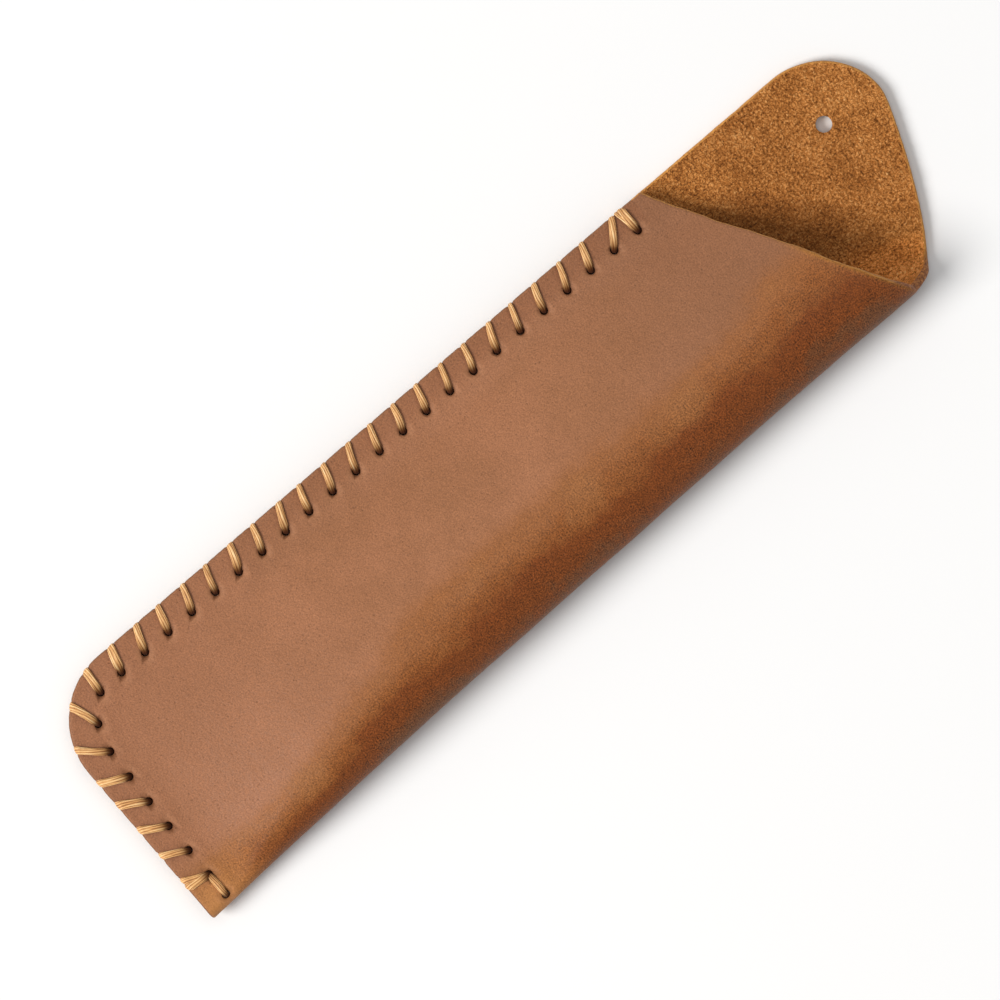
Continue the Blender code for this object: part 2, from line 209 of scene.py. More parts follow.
stops = bottom_holes() + corner_holes() + left_holes()
all_holes = stops + [FOLD_HOLE]
lean_left = [1.65 + 1.1 * noise.noise(Vector((i * 0.83, 4.2, 0.0))) for i in range(LEFT_COUNT)]
lean_left[LEFT_COUNT - 2] = 3.1
lean_left[LEFT_COUNT - 1] = -0.75
EDGE_BITE = 0.16                       # how far inside the cut edge a strand's centre runs
EDGE_LINE = EDGE_IN + EDGE_BITE
crossings = [(x - 2.5 + 0.3 * math.sin(1.7 * k), EDGE_LINE) for k, (x, _) in enumerate(bottom_holes()[:-1])]
crossings[0] = (crossings[0][0] + 0.55, EDGE_LINE)
for a in CORNER_CROSSINGS:
    b = math.radians(a)
    crossings.append((BOTTOM_CORNER + (BOTTOM_CORNER - EDGE_LINE) * math.cos(b),
                      BOTTOM_CORNER + (BOTTOM_CORNER - EDGE_LINE) * math.sin(b)))
crossings += [(EDGE_LINE, y + lean) for (_, y), lean in zip(left_holes(), lean_left)]


def segment_distance(x, y, a, b):
    """Distance in plan from points to the segment a-b, and the share along it."""
    ax, ay = a
    dx, dy = b[0] - ax, b[1] - ay
    t = np.clip(((x - ax) * dx + (y - ay) * dy) / (dx * dx + dy * dy), 0, 1)
    return np.hypot(x - ax - t * dx, y - ay - t * dy), t


# ------------------------------------------------------------------ relief of the leather
def noise_field(points, scale, seed, octaves=1):
    """Smooth noise of about -1..1 at layout-like points (N x 3), feature size `scale` in mm."""
    out = np.empty(len(points))
    off = Vector((seed * 7.31, seed * 3.77, seed * 1.93))
    for i, p in enumerate(points):
        v = Vector(p) / scale + off
        out[i] = noise.fractal(v, 1.0, 2.0, octaves) if octaves > 1 else noise.noise(v)
    return out


class Sheet:
    """One sheet of leather on a grid of columns and rows: middle surface, unit normals and blank coordinates."""

    def __init__(self, middle, blank, front, bend):
        self.p, self.blank, self.front, self.bend = middle, blank, front, bend
        du = np.gradient(middle, axis=0)
        dv = np.gradient(middle, axis=1)
        n = np.cross(du, dv)
        n /= np.linalg.norm(n, axis=2, keepdims=True) + 1e-12
        self.n = n


def closed_sheet(name, sheet, seam_mask, corners, rim_steps=7):
    """A closed leather body: outer face, inner face, and a rounded rim all round.
    seam_mask marks boundary vertices that get a flat cut and no rounding."""
    K, J = sheet.p.shape[:2]
    index = np.arange(K * J).reshape(K, J)
    loop = [(k, 0) for k in range(K)] + [(K - 1, j) for j in range(1, J)]
    loop += [(k, J - 1) for k in range(K - 2, -1, -1)] + [(0, j) for j in range(J - 2, 0, -1)]
    outer = sheet.p + sheet.n * HALF
    inner = sheet.p - sheet.n * HALF
    verts = [outer.reshape(-1, 3), inner.reshape(-1, 3)]
    off = [np.full(K * J, 1.0), np.full(K * J, -1.0)]
    blank = [sheet.blank.reshape(-1, 2)] * 2
    normal = [sheet.n.reshape(-1, 3)] * 2
    side = [sheet.front.ravel()] * 2
    lp = np.array([sheet.p[k, j] for k, j in loop])
    ln = np.array([sheet.n[k, j] for k, j in loop])
    lb = np.array([sheet.blank[k, j] for k, j in loop])
    lf = np.array([sheet.front[k, j] for k, j in loop])
    lm = np.array([seam_mask[k, j] for k, j in loop])
    tangent = np.roll(lp, -1, axis=0) - np.roll(lp, 1, axis=0)
    tangent /= np.linalg.norm(tangent, axis=1, keepdims=True) + 1e-12
    out = np.cross(tangent, ln)
    out /= np.linalg.norm(out, axis=1, keepdims=True) + 1e-12
    k0 = len(loop) // 40
    inside = sheet.p[loop[k0][0], min(loop[k0][1] + 3, J - 1)] - lp[k0]
    if np.dot(out[k0], inside) > 0:
        out = -out
    for key, direction in corners.items():          # the outline runs on across the seam
        at = loop.index(key)
        out[at] = direction
        lm[at] = False
    profile = []
    for i in range(1, rim_steps + 1):
        u = i / (rim_steps + 1)
        if u < 0.36:
            a = u / 0.36 * math.pi / 2
            profile.append((EDGE_R * math.sin(a), HALF - EDGE_R * (1 - math.cos(a))))
        elif u > 0.64:
            a = (1 - u) / 0.36 * math.pi / 2
            profile.append((EDGE_R * math.sin(a), -HALF + EDGE_R * (1 - math.cos(a))))
        else:
            profile.append((EDGE_R * 1.12, (HALF - EDGE_R) * (1 - 2 * (u - 0.36) / 0.28)))
    ring_at = [index[k, j] for k, j in loop]
    rings = [np.array(ring_at)]
    total = 2 * K * J
    rough = noise_field(np.c_[lp[:, :2] * 1.0, lp[:, 2]], 0.9, 3) * 0.05 + noise_field(lp, 3.5, 5) * 0.05
    for i, (o, h) in enumerate(profile):
        flat_h = HALF * (1 - 2 * (i + 1) / (rim_steps + 1))
        oo = np.where(lm, 0.0, o + rough * (1 - (h / HALF) ** 2))
        hh = np.where(lm, flat_h, h)
        verts.append(lp + out * oo[:, None] + ln * hh[:, None])
        off.append(hh / HALF)
        blank.append(lb)
        normal.append(ln)
        side.append(lf)
        rings.append(np.arange(total, total + len(loop)))
        total += len(loop)
    rings.append(np.array(ring_at) + K * J)
    faces, mats = [], []
    q = np.stack([index[:-1, :-1], index[1:, :-1], index[1:, 1:], index[:-1, 1:]], axis=-1).reshape(-1, 4)
    faces += q.tolist()
    mats += [0] * len(q)
    faces += (q[:, ::-1] + K * J).tolist()
    mats += [1] * len(q)
    m = len(loop)
    for r, (a, b) in enumerate(zip(rings, rings[1:])):
        for i in range(m):
            i2 = (i + 1) % m
            faces.append((int(a[i2]), int(a[i]), int(b[i]), int(b[i2])))
            mats.append(0 if r == 0 else 2)
    mesh = bpy.data.meshes.new(name)
    co = np.concatenate(verts)
    mesh.from_pydata(place(co).tolist(), [], faces)
    mesh.polygons.foreach_set("material_index", mats)
    mesh.update()
    bm = bmesh.new()
    bm.from_mesh(mesh)
    bmesh.ops.recalc_face_normals(bm, faces=bm.faces)
    bm.to_mesh(mesh)
    bm.free()
    obj = bpy.data.objects.new(name, mesh)
    bpy.context.scene.collection.objects.link(obj)
    return obj


def cut_round(obj, centres, radius, low, high, segments=28):
    """Round holes through a sheet, with a hole-wall material in slot 3."""
    bm = bmesh.new()
    for x, y in centres:
        c = place((x, y, (low + high) / 2))
        bmesh.ops.create_cone(bm, cap_ends=True, segments=segments, radius1=radius * MM, radius2=radius * MM,
                              depth=(high - low) * MM, matrix=Matrix.Translation(Vector(c)))
    mesh = bpy.data.meshes.new("punch")
    bm.to_mesh(mesh)
    bm.free()
    for m in obj.data.materials:
        mesh.materials.append(m)
    for p in mesh.polygons:
        p.material_index = 3
    punch = bpy.data.objects.new("punch", mesh)
    bpy.context.scene.collection.objects.link(punch)
    mod = obj.modifiers.new("holes", "BOOLEAN")
    mod.operation, mod.solver, mod.object = "DIFFERENCE", "EXACT", punch
    bpy.context.view_layer.update()
    graph = bpy.context.evaluated_depsgraph_get()
    done = bpy.data.meshes.new_from_object(obj.evaluated_get(graph))
    obj.modifiers.clear()
    old = obj.data
    obj.data = done
    bpy.data.meshes.remove(old)
    bpy.data.objects.remove(punch, do_unlink=True)


def finish_sheet(obj, sheet):
    """Relief and the values the materials read, for every vertex, from its place on the blank."""
    K, J = sheet.p.shape[:2]
    flat_p = sheet.p.reshape(-1, 3)
    flat_n = sheet.n.reshape(-1, 3)
    flat_b = sheet.blank.reshape(-1, 2)
    flat_f = sheet.front.ravel()
    flat_d = sheet.bend.ravel()
    du = np.gradient(sheet.p, axis=0).reshape(-1, 3)
    dv = np.gradient(sheet.p, axis=1).reshape(-1, 3)
    db_u = np.gradient(sheet.blank, axis=0).reshape(-1, 2)
    db_v = np.gradient(sheet.blank, axis=1).reshape(-1, 2)
    tree = kdtree.KDTree(2 * len(flat_p))
    for i, (p, n) in enumerate(zip(flat_p, flat_n)):
        tree.insert(Vector(p + n * HALF), 2 * i)
        tree.insert(Vector(p - n * HALF), 2 * i + 1)
    tree.balance()
    mesh = obj.data
    count = len(mesh.vertices)
    co = np.empty(count * 3, np.float32)
    mesh.vertices.foreach_get("co", co)
    co = co.reshape(-1, 3).astype(float) / MM + np.array((ORIGIN_X, ORIGIN_Y, 0.0))
    near = np.array([tree.find(Vector(p))[1] for p in co])
    i = near // 2
    n = flat_n[i]
    d = co - flat_p[i]
    off = np.einsum("ij,ij->i", d, n)
    tang = d - n * off[:, None]
    # blank coordinates, corrected for the step from the nearest grid point
    uu, vv, uv = (np.einsum("ij,ij->i", a, b) for a, b in ((du[i], du[i]), (dv[i], dv[i]), (du[i], dv[i])))
    tu, tv = np.einsum("ij,ij->i", tang, du[i]), np.einsum("ij,ij->i", tang, dv[i])
    det = uu * vv - uv * uv + 1e-9
    su = np.clip((tu * vv - tv * uv) / det, -1, 1)
    sv = np.clip((tv * uu - tu * uv) / det, -1, 1)
    blank = flat_b[i] + db_u[i] * su[:, None] + db_v[i] * sv[:, None]
    front, bend = flat_f[i], flat_d[i]
    S, Y = blank[:, 0], blank[:, 1]
    x, y = co[:, 0], co[:, 1]
    b3 = np.c_[S, Y, np.zeros(count)]
    outer = np.clip(off / HALF, -1, 1)
    loose = np.where(Y > 128, 1.0, swell(y)) * ease((x - 3.0) / 8.0 + np.where(y > 132, 0.6, 0.0))
    flap = ease((beyond_crease(x, y) + 9.0) / 7.0) * (front < 0.5)
    # broad unevenness of the whole sheet
    broad = noise_field(b3, 26.0, 11) * 0.30 + noise_field(b3, 11.0, 12) * 0.10
    move = n * (broad * loose * np.where(front > 0.5, 1.0, 0.35))[:, None]
    # stitch holes are pulled in, with a low raised ring round each
    dimple = np.zeros(count)
    # hole_shade: painted shade darkening the grain at the rim of each stitch hole
    hole_shade, halo = np.zeros(count), np.zeros(count)
    margin = (x < 9.5) | (y < 10)
    for hx, hy in all_holes:
        r = np.hypot(x - hx, y - hy)
        close = margin & (r < 4.0)
        rr = r[close]
        dimple[close] += -0.30 * np.exp(-(rr / 1.05) ** 2) + 0.06 * np.exp(-((rr - 1.75) / 0.55) ** 2)
        hole_shade[close] = np.maximum(hole_shade[close], np.exp(-(rr / 0.88) ** 4))
        halo[close] = np.maximum(halo[close], np.exp(-((rr - 1.25) / 0.42) ** 2))
    # under: painted shade on the leather along each thread, showing as a dark fringe beside the strand; press: the
    # thread pressing into the leather
    press = np.zeros(count)
    under = np.zeros(count)
    for k, (hole, cross) in enumerate(zip(stops, crossings)):
        after = stops[k + 1] if k + 1 < len(stops) else None
        box = margin & (np.abs(x - hole[0]) < 8) & (np.abs(y - hole[1]) < 8)
        if not box.any():
            continue
        dist, t = segment_distance(x[box], y[box], hole, cross)
        face = (outer[box] > 0.2) & (front[box] > 0.5)
        press[box] += np.where(face, -0.13 * np.exp(-(dist / 0.75) ** 2) * t, 0.0)
        under[box] = np.maximum(under[box], np.where(face, np.exp(-(dist / 0.85) ** 4), 0.0))
        if after is not None:
            dist, t = segment_distance(x[box], y[box], cross, after)
            face = (outer[box] > 0.2) & (front[box] < 0.5)
            press[box] += np.where(face, -0.13 * np.exp(-(dist / 0.75) ** 2) * (1 - t), 0.0)
            under[box] = np.maximum(under[box], np.where(face, np.exp(-(dist / 0.85) ** 4), 0.0))
    is_out = ease((outer + 0.2) / 0.6)
    move += n * ((dimple + press) * is_out)[:, None]
    # the thread bites into the cut edge where it crosses
    for cx, cy in crossings:
        r = np.hypot(x - cx, y - cy)
        near_c = r < 1.8
        if not near_c.any():
            continue
        direction = np.array((BOTTOM_CORNER - cx if cx < BOTTOM_CORNER else 0.0,
                              BOTTOM_CORNER - cy if cy < BOTTOM_CORNER else 0.0, 0.0))
        direction /= np.linalg.norm(direction)
        move[near_c] += direction * (0.46 * np.exp(-(r[near_c] / 0.52) ** 2))[:, None]
    # the nap of the flesh side
    nap = noise_field(np.c_[S, Y, off], 1.3, 21) * 0.09 + noise_field(np.c_[S, Y, off], 0.7, 22) * 0.11
    move -= n * (nap * flap * (outer < -0.5))[:, None]
    co2 = co + move
    mesh.vertices.foreach_set("co", place(co2).astype(np.float32).ravel())
    mesh.update()

    reach = mix(6.0, 11.5, ease((y - 8) / 62)) + 2.0 * ease((y - 122) / 22)
    fold = np.exp(-(bend / reach) ** 2) * mix(0.62, 1.0, ease((y - 10) / 42))
    inside = np.minimum(x - EDGE_IN, np.where(x > BOTTOM_CORNER, y - EDGE_IN, np.maximum(y - bottom_y(x, EDGE_IN), 0)))
    corner = (x < BOTTOM_CORNER) & (y < BOTTOM_CORNER)
    inside = np.where(corner, BOTTOM_CORNER - EDGE_IN - np.hypot(x - BOTTOM_CORNER, y - BOTTOM_CORNER), inside)
    deep = (y - mouth_y(x)) * 0.86               # how far a point lies beyond the mouth's cut
    values = {
        "fold": fold,
        "hole_shade": hole_shade,
        "halo": halo,
        "under": under,
        "front": front,
        "mouth": np.exp(-np.maximum(mouth_y(x) - y, 0) / 7.0) * (front > 0.5),
        "rim": np.exp(-np.minimum.reduce([np.where(x < 8, x, 9.0), np.where(y < 8, y - bottom_y(x), 9.0),
                                          np.where(front > 0.5, np.abs(mouth_y(x) - y) * 0.86, 9.0)]) / 0.9),
        "strip": ease((5.2 - inside) / 2.4) * (y < 131) * mix(0.25, 1.0, ease((y - 20) / 75)),
        "knob": ease((x - 37.5) / 3.0) * ease((y - 150.0) / 4.0),
        "pull": np.exp(-(np.hypot((x - 45.0) / 5.5, (y - 2.0) / 8.5)) ** 2) * (outer > -0.5),
        "flap": flap,
        "ledge": ease((x - 27.0) / 8.0) * ease((y - 144.0) / 6.0),
        # inner: painted shadow of the front panel's mouth edge on the suede, widest in the middle of the mouth
        "inner": np.maximum(
            ease((x - 6.0) / 6.5) * (1 - 0.55 * ease((x - 22.0) / 8.0)) * (1 - ease((x - 30.0) / 4.0))
            * (1 - ease((deep - mix(4.0, 8.2, np.clip((x - 9) / 17, 0, 1))) / 3.2)),
            0.34 * ease((deep - 6.0) / 4.0) * (1 - ease((deep - 16.0) / 8.0)) * (1 - ease((x - 26.0) / 6.0))),
        "lip": np.exp(-(np.maximum(mouth_y(x) - y, 0) * 0.86 / 0.48) ** 2) * (front > 0.5) * ease((x - 19.0) / 10.0),
        # near: painted light where the suede turns up towards the fold near the mouth
        "near": ease((x - 28.0) / 6.0) * (1 - ease((deep - mix(2.5, 6.5, ease((x - 32.0) / 4.0))) / 4.5))
        * mix(0.8, 1.0, ease((x - 32.0) / 4.0)),
        "seamed": ease((3.0 - inside) / 1.0) * (y < 131),
    }
    vec = mesh.attributes.new("blank", "FLOAT_VECTOR", "POINT")
    vec.data.foreach_set("vector", np.c_[S, Y, off].astype(np.float32).ravel())
    for key, value in values.items():
        a = mesh.attributes.new(key, "FLOAT", "POINT")
        a.data.foreach_set("value", np.asarray(value, np.float32))
    mesh.shade_smooth()
    bm = bmesh.new()
    bm.from_mesh(mesh)
    for e in bm.edges:
        if len(e.link_faces) == 2 and e.calc_face_angle(0.0) > 1.1:
            a = e.verts[0].co / MM + Vector((ORIGIN_X, ORIGIN_Y, 0.0))
            if abs(beyond_crease(a.x, a.y) - SEAM_OUT) < 0.3:
                e.smooth = False
    bm.to_mesh(mesh)
    bm.free()


# ------------------------------------------------------------------ material tools
def lin(r, g, b):
    return tuple(((c / 255 + 0.055) / 1.055) ** 2.4 if c > 10.3 else c / 255 / 12.92 for c in (r, g, b))


class Graph:
    def __init__(self, name):
        self.mat = bpy.data.materials.new(name)
        self.mat.use_nodes = True
        self.t = self.mat.node_tree
        self.t.nodes.clear()
        self.out = self.t.nodes.new("ShaderNodeOutputMaterial")

    def put(self, socket, value):
        if isinstance(value, bpy.types.NodeSocket):
            self.t.links.new(value, socket)
        elif value is not None:
            if socket.type == "RGBA" and len(value) == 3:
                value = (*value, 1.0)
            socket.default_value = value

    def attr(self, name, out="Fac"):
        node = self.t.nodes.new("ShaderNodeAttribute")
        node.attribute_name = name
        return node.outputs[out]

    def math(self, op, a, b=None, c=None, clamp=False):
        node = self.t.nodes.new("ShaderNodeMath")
        node.operation = op
        node.use_clamp = clamp
        self.put(node.inputs[0], a)
        if b is not None:
            self.put(node.inputs[1], b)
        if c is not None:
            self.put(node.inputs[2], c)
        return node.outputs[0]

    def mul(self, a, b, clamp=False):
        return self.math("MULTIPLY", a, b, clamp=clamp)

    def add(self, a, b, clamp=False):
        return self.math("ADD", a, b, clamp=clamp)

    def vmul(self, v, scale):
        node = self.t.nodes.new("ShaderNodeVectorMath")
        node.operation = "MULTIPLY"
        self.put(node.inputs[0], v)
        node.inputs[1].default_value = scale
        return node.outputs[0]

    def vadd(self, v, w):
        node = self.t.nodes.new("ShaderNodeVectorMath")
        node.operation = "ADD"
        self.put(node.inputs[0], v)
        self.put(node.inputs[1], w)
        return node.outputs[0]

    def noise(self, v, size, detail=2.0, rough=0.5, distort=0.0, out="Fac"):
        node = self.t.nodes.new("ShaderNodeTexNoise")
        self.put(node.inputs["Vector"], v)
        node.inputs["Scale"].default_value = 1.0 / size
        node.inputs["Detail"].default_value = detail
        node.inputs["Roughness"].default_value = rough
        node.inputs["Distortion"].default_value = distort
        return node.outputs["Fac" if out == "Fac" else "Color"]

    def cells(self, v, size, feature="F1", out="Distance", smooth=0.3, random=1.0):
        node = self.t.nodes.new("ShaderNodeTexVoronoi")
        node.feature = feature
        self.put(node.inputs["Vector"], v)
        node.inputs["Scale"].default_value = 1.0 / size
        if "Smoothness" in node.inputs and feature == "SMOOTH_F1":
            node.inputs["Smoothness"].default_value = smooth
        node.inputs["Randomness"].default_value = random
        return node.outputs[out]

    def remap(self, v, a, b, c=0.0, d=1.0, smooth=True):
        node = self.t.nodes.new("ShaderNodeMapRange")
        node.interpolation_type = "SMOOTHSTEP" if smooth else "LINEAR"
        self.put(node.inputs["Value"], v)
        for key, value in zip(("From Min", "From Max", "To Min", "To Max"), (a, b, c, d)):
            self.put(node.inputs[key], value)
        return node.outputs["Result"]

    def blend(self, fac, a, b, mode="MIX"):
        node = self.t.nodes.new("ShaderNodeMix")
        node.data_type = "RGBA"
        node.blend_type = mode
        self.put(node.inputs[0], fac)
        self.put(node.inputs[6], a)
        self.put(node.inputs[7], b)
        return node.outputs[2]

    def ramp(self, fac, stops_):
        node = self.t.nodes.new("ShaderNodeValToRGB")
        self.put(node.inputs[0], fac)
        ramp = node.color_ramp
        while len(ramp.elements) < len(stops_):
            ramp.elements.new(0.5)
        for e, (pos, colour) in zip(ramp.elements, stops_):
            e.position = pos
            e.color = (*colour, 1.0)
        return node.outputs[0]

    def bump(self, height, strength, distance, normal=None):
        node = self.t.nodes.new("ShaderNodeBump")
        node.inputs["Strength"].default_value = strength
        node.inputs["Distance"].default_value = distance
        self.put(node.inputs["Height"], height)
        if normal is not None:
            self.put(node.inputs["Normal"], normal)
        return node.outputs[0]

    def surface(self, colour, rough, normal=None, specular=0.5, sheen=0.0, sheen_tint=(1, 1, 1), coat=0.0,
                coat_rough=0.3):
        node = self.t.nodes.new("ShaderNodeBsdfPrincipled")
        self.put(node.inputs["Base Color"], colour)
        self.put(node.inputs["Roughness"], rough)
        self.put(node.inputs["Specular IOR Level"], specular)
        if normal is not None:
            self.put(node.inputs["Normal"], normal)
        if sheen != 0.0:
            self.put(node.inputs["Sheen Weight"], sheen)
            node.inputs["Sheen Roughness"].default_value = 0.6
            self.put(node.inputs["Sheen Tint"], sheen_tint)
        if coat:
            node.inputs["Coat Weight"].default_value = coat
            node.inputs["Coat Roughness"].default_value = coat_rough
        self.t.links.new(node.outputs[0], self.out.inputs["Surface"])
        return self.mat


def scratch(g, v, a, b, wide):
    """1 on a thin line from a to b on the blank (mm), fading at its ends."""
    ax, ay = a
    length = math.hypot(b[0] - ax, b[1] - ay)
    ux, uy = (b[0] - ax) / length, (b[1] - ay) / length
    sep = g.t.nodes.new("ShaderNodeSeparateXYZ")
    g.put(sep.inputs[0], v)
    px, py = g.add(sep.outputs[0], -ax), g.add(sep.outputs[1], -ay)
    along = g.add(g.mul(px, ux), g.mul(py, uy))
    across = g.math("ABSOLUTE", g.add(g.mul(px, -uy), g.mul(py, ux)))
    line = g.remap(across, 0.0, wide, 1.0, 0.0)
    ends = g.mul(g.remap(along, 0.0, length * 0.3, 0.0, 1.0), g.remap(along, length * 0.7, length, 1.0, 0.0))
    return g.mul(line, ends)


def grain_material():
    g = Graph("waxed_grain_leather")
    v = g.attr("blank", "Vector")
    fold, front = g.attr("fold"), g.attr("front")
    sep = g.t.nodes.new("ShaderNodeSeparateXYZ")
    g.put(sep.inputs[0], v)
    S, Y = sep.outputs[0], sep.outputs[1]
    wobble = g.noise(v, 16.0, 3.0, 0.55)
    wobble2 = g.noise(g.vadd(v, (31.0, 7.0, 3.0)), 6.0, 3.0, 0.6)
    # body colour with slow drift, cooler towards the mouth
    base = g.blend(g.remap(wobble, 0.34, 0.66), (0.284, 0.116, 0.050), (0.323, 0.133, 0.061))
    base = g.blend(g.mul(g.remap(wobble2, 0.45, 0.75), 0.40), base, (0.345, 0.145, 0.067))
    drift = g.add(Y, g.mul(g.add(wobble, -0.5), 30.0))
    base = g.blend(g.mul(g.remap(drift, 60.0, 15.0), 0.55), base, (0.298, 0.119, 0.055))
    base = g.blend(g.mul(g.remap(drift, 96.0, 132.0), 0.65), base, (0.236, 0.099, 0.045))
    # pull-up: the waxes move, the leather turns amber and then red-brown towards the fold; the greyer last step at the
    # fold's outer edge is a painted reflection of the pale surroundings
    patch = g.noise(g.vmul(v, (1.0, 0.42, 1.0)), 7.5, 4.0, 0.62)
    patch2 = g.noise(g.vadd(v, (17.0, 3.0, 8.0)), 2.6, 3.0, 0.6)
    push = g.add(g.mul(g.add(patch, -0.5), 1.5), g.mul(g.add(patch2, -0.5), 0.6))
    reach = g.mul(fold, g.add(1.0, push))
    base = g.blend(g.remap(reach, 0.035, 0.17), base, (0.272, 0.099, 0.030))
    base = g.blend(g.remap(reach, 0.17, 0.36), base, (0.228, 0.074, 0.0170))
    base = g.blend(g.remap(reach, 0.34, 0.60), base, (0.168, 0.043, 0.0080))
    # painted reflection: greyer at the fold's outer edge, where the leather is seen at a grazing angle
    base = g.blend(g.remap(reach, 0.78, 1.05), base, (0.140, 0.048, 0.0160))
    # amber patches just inside the dark band
    amber = g.remap(g.noise(g.vadd(v, (3.0, 55.0, 9.0)), 11.0, 3.0, 0.55), 0.52, 0.70)
    band = g.mul(g.remap(fold, 0.06, 0.22), g.remap(fold, 0.62, 0.34))
    base = g.blend(g.mul(g.mul(amber, band), 0.55), base, (0.290, 0.115, 0.036))
    # the pulled corner, the strip outside the stitches and the worn rims
    base = g.blend(g.mul(g.attr("strip"), 0.50), base, (0.228, 0.085, 0.034))
    base = g.blend(g.mul(g.attr("pull"), 0.90), base, (0.470, 0.205, 0.066))
    base = g.blend(g.mul(g.attr("rim"), 0.30), base, (0.24, 0.10, 0.04))
    base = g.blend(g.mul(g.attr("lip"), 0.80), base, (0.370, 0.155, 0.026))
    # fine mottling, stronger where the leather is bent
    fine = g.noise(v, 0.26, 2.0, 0.62)
    fine2 = g.noise(g.vadd(v, (9.0, 2.0, 5.0)), 1.3, 3.0, 0.6)
    speck = g.add(g.mul(g.add(fine, -0.5), 2.7), g.mul(g.add(fine2, -0.5), 0.40))
    amount = g.add(g.add(g.mul(g.remap(reach, 0.04, 0.40), 0.66), 0.50), g.mul(g.remap(reach, 0.50, 0.85), 0.42))
    amount = g.mul(amount, g.add(1.0, g.mul(g.attr("pull"), -0.75)))
    light = g.add(1.0, g.mul(speck, amount))
    grey = g.t.nodes.new("ShaderNodeCombineColor")
    for socket in grey.inputs:
        g.put(socket, light)
    base = g.blend(1.0, base, grey.outputs[0], "MULTIPLY")
    pores = g.cells(v, 0.95, "F1", random=1.0)
    pore = g.mul(g.remap(pores, 0.09, 0.22, 1.0, 0.0), g.remap(g.noise(v, 3.0, 2.0), 0.36, 0.56))
    base = g.blend(g.mul(pore, 0.34), base, (0.11, 0.042, 0.017))
    # a few faint scratches
    marks = None
    for a, b, w in (((21.0, 116.0), (27.5, 118.5), 0.16), ((30.0, 98.0), (33.5, 91.0), 0.18),
                    ((24.0, 88.5), (31.0, 86.0), 0.14), ((17.5, 62.0), (19.5, 68.0), 0.12),
                    ((12.0, 38.0), (18.0, 39.0), 0.12), ((27.0, 140.0), (27.9, 140.4), 0.22),
                    ((9.0, 100.0), (13.0, 106.0), 0.10), ((33.0, 60.0), (36.0, 52.0), 0.14)):
        m = scratch(g, g.vadd(v, g.vmul(g.noise(v, 2.0, 1.0, out="Color"), (0.5, 0.5, 0.0))), a, b, w)
        marks = m if marks is None else g.math("MAXIMUM", marks, m)
    base = g.blend(g.mul(marks, 0.35), base, (0.48, 0.24, 0.12))
    # stitch holes and threads on the grain
    base = g.blend(g.mul(g.attr("halo"), 0.35), base, (0.42, 0.19, 0.09))
    # painted shade on the leather along each thread
    base = g.blend(g.mul(g.attr("under"), 0.45), base, (0.10, 0.036, 0.015))
    # painted shade at the rim of each stitch hole
    base = g.blend(g.mul(g.attr("hole_shade"), 0.80), base, (0.085, 0.030, 0.012))
    rough = g.add(g.mul(g.add(fine2, -0.5), 0.25), 0.54)
    shine = g.mul(g.add(0.23, g.mul(g.remap(reach, 0.05, 0.5), -0.09)), g.add(1.0, g.mul(g.attr("hole_shade"), -1.0), clamp=True))
    # relief: pebbled grain, pores and fine folds that follow the bend
    pebble = g.cells(g.vadd(v, g.vmul(g.noise(v, 1.2, 2.0, out="Color"), (0.5, 0.5, 0.5))), 0.55, "SMOOTH_F1",
                     smooth=0.35)
    creases = g.noise(g.vmul(v, (2.6, 0.55, 1.0)), 1.6, 4.0, 0.6, 0.4)
    height = g.add(g.mul(pebble, 0.7), g.mul(fine, 0.7))
    height = g.add(height, g.mul(g.mul(creases, g.remap(reach, 0.1, 0.7)), 1.2))
    height = g.add(height, g.mul(pore, -0.8))
    height = g.add(height, g.mul(marks, 0.25))
    normal = g.bump(height, 0.38, 0.00013)
    normal = g.bump(g.noise(v, 5.0, 3.0, 0.5), 0.25, 0.0006, normal)
    return g.surface(base, rough, normal, specular=shine, sheen=g.mul(g.add(1.0, g.mul(g.attr("hole_shade"), -1.0), clamp=True), 0.10), sheen_tint=lin(255, 214, 176))


def suede_material():
    g = Graph("flesh_side_suede")
    v = g.attr("blank", "Vector")
    warp = g.vadd(v, g.vmul(g.noise(v, 0.8, 2.0, out="Color"), (0.55, 0.55, 0.3)))
    clump = g.noise(warp, 0.42, 3.0, 0.72, 0.5)
    tuft = g.cells(warp, 0.42, "SMOOTH_F1", smooth=0.25)
    fibre = g.noise(g.vmul(warp, (1.0, 0.42, 1.0)), 0.21, 2.0, 0.7, 1.2)
    broad = g.noise(v, 6.0, 3.0, 0.55)
    tone = g.add(g.mul(g.add(clump, -0.5), 1.15), g.mul(g.add(fibre, -0.5), 1.10))
    tone = g.add(tone, g.mul(g.add(tuft, -0.38), -0.35))
    tone = g.add(tone, g.mul(g.add(broad, -0.5), 0.42))
    base = g.ramp(g.remap(tone, -0.43, 0.43, smooth=False),
                  [(0.0, (0.090, 0.024, 0.004)), (0.25, (0.265, 0.084, 0.015)), (0.50, (0.500, 0.185, 0.041)),
                   (0.74, (0.740, 0.320, 0.095)), (1.0, (0.95, 0.55, 0.22))])
    # painted shadow cast by the front panel's mouth edge on the suede beyond the mouth
    base = g.blend(g.attr("inner"), base, g.blend(1.0, base, (0.68, 0.62, 0.56), "MULTIPLY"))
    # painted light where the suede turns up towards the fold and faces the lamp
    base = g.blend(g.attr("near"), base, g.blend(1.0, base, (1.70, 1.66, 1.62), "MULTIPLY"))
    height = g.add(g.add(g.mul(clump, 1.0), g.mul(fibre, 0.7)), g.mul(tuft, -0.8))
    normal = g.bump(height, 1.0, 0.00032)
    return g.surface(base, 0.95, normal, specular=0.10, sheen=0.25, sheen_tint=lin(235, 180, 120))


